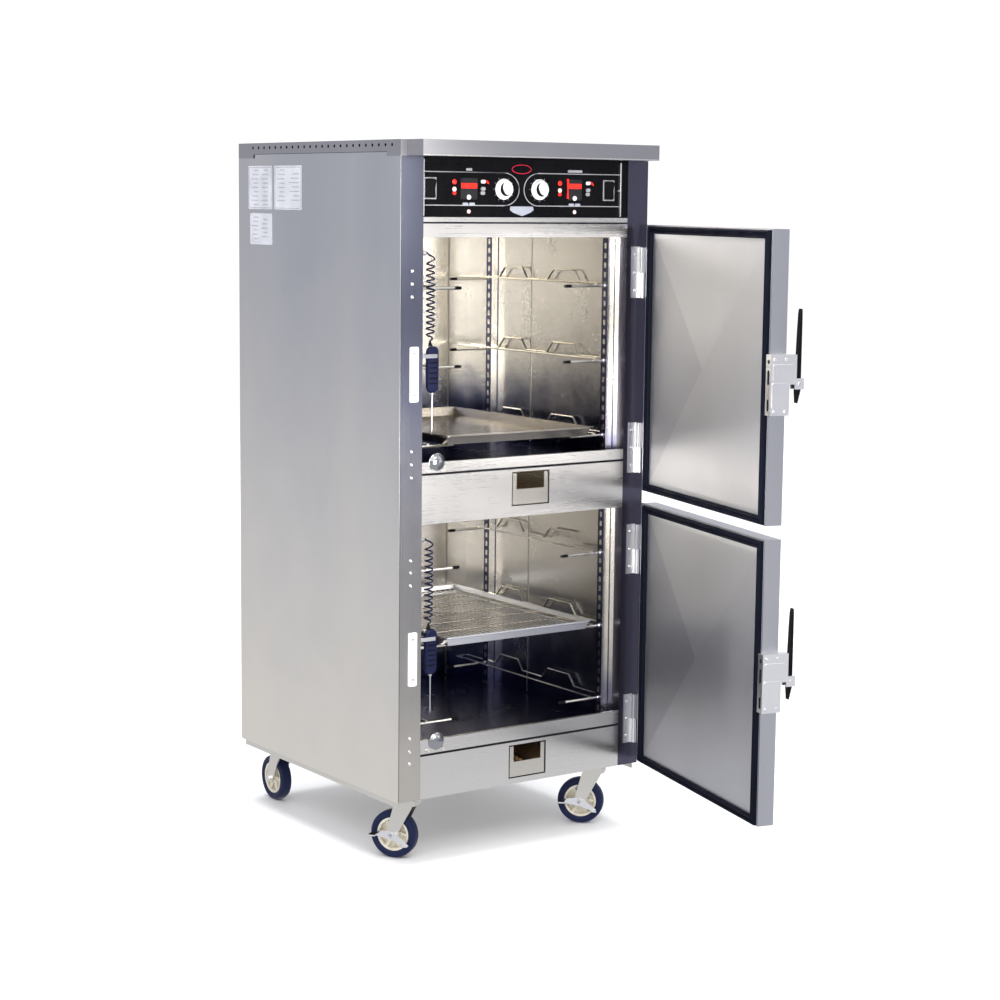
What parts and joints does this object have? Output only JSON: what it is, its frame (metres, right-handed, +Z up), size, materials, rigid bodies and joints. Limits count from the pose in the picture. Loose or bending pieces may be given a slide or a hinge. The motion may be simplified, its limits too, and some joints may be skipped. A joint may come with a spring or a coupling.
{
  "type": "proofing cabinet",
  "caption": "Tall two-cavity holding and proofing cabinet in stainless steel on four casters, with both doors open, wire racks, sheet pans, chip drawers and curly-cord probes.",
  "frame": {"origin": "bottom centre of the bounding box, with the wheels on the floor and the doors open", "axes": "+Z up, +Y to the back of the cabinet, +X to the right seen from the front, where the doors are"},
  "size_m": [0.8054, 1.5832, 1.846],
  "materials": {
    "brushed_steel": "brushed",
    "liner_steel": "polished",
    "chrome": "polished",
    "rack_wire": "polished",
    "pan_aluminium": "satin",
    "black_panel": "gloss",
    "gasket_rubber": "matte",
    "lever_plastic": "satin",
    "caster_tyre": "matte",
    "probe_plastic": "satin",
    "insulation": "matte",
    "heater_sheath": "matte"
  },
  "bodies": {
    "cabinet": {"base_frame": "brushed_steel", "bottom_rail": "brushed_steel", "cabinet_wrap": "brushed_steel", "control_chassis": "brushed_steel", "control_fascia": "black_panel", "header_rail": "brushed_steel", "insulation_wrap": "insulation", "left_post": "brushed_steel", "lower_heater": "heater_sheath", "lower_hinge_bottom": "chrome", "lower_hinge_top": "chrome", "lower_left_rack": "rack_wire", "lower_liner": "liner_steel", "lower_probe": "probe_plastic", "lower_probe_bracket": "chrome", "lower_probe_cord": "probe_plastic", "lower_right_rack": "rack_wire", "lower_strike": "chrome", "mid_rail": "brushed_steel", "power_inlet": "black_panel", "right_post": "brushed_steel", "top_cap": "brushed_steel", "upper_heater": "heater_sheath", "upper_hinge_bottom": "chrome", "upper_hinge_top": "chrome", "upper_left_rack": "rack_wire", "upper_liner": "liner_steel", "upper_probe": "probe_plastic", "upper_probe_bracket": "chrome", "upper_probe_cord": "probe_plastic", "upper_right_rack": "rack_wire", "upper_strike": "chrome"},
    "upper_door": {"upper_door_shell": "brushed_steel", "upper_door_liner": "brushed_steel", "upper_door_gasket": "gasket_rubber", "upper_latch_housing": "chrome"},
    "upper_lever": {"upper_latch_lever": "lever_plastic"},
    "upper_tray": {"upper_pan": "pan_aluminium"},
    "upper_drawer": {"upper_chip_drawer": "liner_steel"},
    "lower_door": {"lower_door_shell": "brushed_steel", "lower_door_liner": "brushed_steel", "lower_door_gasket": "gasket_rubber", "lower_latch_housing": "chrome"},
    "lower_lever": {"lower_latch_lever": "lever_plastic"},
    "lower_tray": {"lower_pan": "pan_aluminium"},
    "lower_drawer": {"lower_chip_drawer": "liner_steel"},
    "left_dial": {"left_knob": "black_panel"},
    "left_rocker": {"left_switch": "black_panel"},
    "right_dial": {"right_knob": "black_panel"},
    "right_rocker": {"right_switch": "black_panel"},
    "front_left_caster": {"front_left_fork": "chrome"},
    "front_left_roller": {"front_left_wheel": "caster_tyre"},
    "front_left_lock": {"front_left_brake": "chrome"},
    "front_right_caster": {"front_right_fork": "chrome"},
    "front_right_roller": {"front_right_wheel": "caster_tyre"},
    "front_right_lock": {"front_right_brake": "chrome"},
    "rear_left_caster": {"rear_left_fork": "chrome"},
    "rear_left_roller": {"rear_left_wheel": "caster_tyre"},
    "rear_right_caster": {"rear_right_fork": "chrome"},
    "rear_right_roller": {"rear_right_wheel": "caster_tyre"}
  },
  "joints": [
    {"name": "upper_door_hinge", "type": "hinge", "parent": "cabinet", "child": "upper_door", "pos_m": [0.35593, -0.06466, 0.932], "axis": [0, 0, 1], "range_deg": [-76.5, 43.5]},
    {"name": "upper_latch_lever_pivot", "type": "hinge", "parent": "upper_door", "child": "upper_lever", "pos_m": [0.25914, -0.78908, 1.275], "axis": [0.2334, 0.9724, 0], "range_deg": [0, 25], "stiffness_Nm_per_rad": 1.5, "springref_deg": -14.32},
    {"name": "upper_pan_slide", "type": "slide", "parent": "cabinet", "child": "upper_tray", "axis": [0, -1, 0], "range_m": [0, 0.45]},
    {"name": "upper_chip_drawer_slide", "type": "slide", "parent": "cabinet", "child": "upper_drawer", "axis": [0, -1, 0], "range_m": [0, 0.15]},
    {"name": "lower_door_hinge", "type": "hinge", "parent": "cabinet", "child": "lower_door", "pos_m": [0.35593, -0.06466, 0.19], "axis": [0, 0, 1], "range_deg": [-76.5, 43.5]},
    {"name": "lower_latch_lever_pivot", "type": "hinge", "parent": "lower_door", "child": "lower_lever", "pos_m": [0.25914, -0.78908, 0.553], "axis": [0.2334, 0.9724, 0], "range_deg": [0, 25], "stiffness_Nm_per_rad": 1.5, "springref_deg": -14.32},
    {"name": "lower_pan_slide", "type": "slide", "parent": "cabinet", "child": "lower_tray", "axis": [0, -1, 0], "range_m": [0, 0.45]},
    {"name": "lower_chip_drawer_slide", "type": "slide", "parent": "cabinet", "child": "lower_drawer", "axis": [0, -1, 0], "range_m": [0, 0.15]},
    {"name": "left_knob_turn", "type": "hinge", "parent": "cabinet", "child": "left_dial", "pos_m": [-0.08807, -0.05065, 1.728], "axis": [0, -1, 0], "range_deg": [-300, 0]},
    {"name": "left_switch_rock", "type": "hinge", "parent": "cabinet", "child": "left_rocker", "pos_m": [-0.31207, -0.04666, 1.728], "axis": [1, 0, 0], "range_deg": [0, 10]},
    {"name": "right_knob_turn", "type": "hinge", "parent": "cabinet", "child": "right_dial", "pos_m": [0.02393, -0.05065, 1.728], "axis": [0, -1, 0], "range_deg": [-300, 0]},
    {"name": "right_switch_rock", "type": "hinge", "parent": "cabinet", "child": "right_rocker", "pos_m": [0.24693, -0.04666, 1.728], "axis": [1, 0, 0], "range_deg": [0, 10]},
    {"name": "front_left_swivel", "type": "hinge", "parent": "cabinet", "child": "front_left_caster", "pos_m": [-0.31807, 0.02335, 0.1694], "axis": [0, 0, 1], "continuous": true},
    {"name": "front_left_roll", "type": "hinge", "parent": "front_left_caster", "child": "front_left_roller", "pos_m": [-0.3386, 0.05532, 0.0635], "axis": [0.8415, 0.5402, 0], "continuous": true},
    {"name": "front_left_brake_pedal", "type": "hinge", "parent": "front_left_caster", "child": "front_left_lock", "pos_m": [-0.3386, 0.05532, 0.0635], "axis": [-0.8415, -0.5402, 0], "range_deg": [-18, 0]},
    {"name": "front_right_swivel", "type": "hinge", "parent": "cabinet", "child": "front_right_caster", "pos_m": [0.29193, 0.02335, 0.1694], "axis": [0, 0, 1], "continuous": true},
    {"name": "front_right_roll", "type": "hinge", "parent": "front_right_caster", "child": "front_right_roller", "pos_m": [0.26601, 0.05114, 0.0635], "axis": [0.7314, 0.682, 0], "continuous": true},
    {"name": "front_right_brake_pedal", "type": "hinge", "parent": "front_right_caster", "child": "front_right_lock", "pos_m": [0.26601, 0.05114, 0.0635], "axis": [-0.7314, -0.682, 0], "range_deg": [-18, 0]},
    {"name": "rear_left_swivel", "type": "hinge", "parent": "cabinet", "child": "rear_left_caster", "pos_m": [-0.31807, 0.67834, 0.1694], "axis": [0, 0, 1], "continuous": true},
    {"name": "rear_left_roll", "type": "hinge", "parent": "rear_left_caster", "child": "rear_left_roller", "pos_m": [-0.31807, 0.71635, 0.0635], "axis": [1, 0, 0], "continuous": true},
    {"name": "rear_right_swivel", "type": "hinge", "parent": "cabinet", "child": "rear_right_caster", "pos_m": [0.29193, 0.67834, 0.1694], "axis": [0, 0, 1], "continuous": true},
    {"name": "rear_right_roll", "type": "hinge", "parent": "rear_right_caster", "child": "rear_right_roller", "pos_m": [0.29193, 0.71635, 0.0635], "axis": [1, 0, 0], "continuous": true}
  ]
}
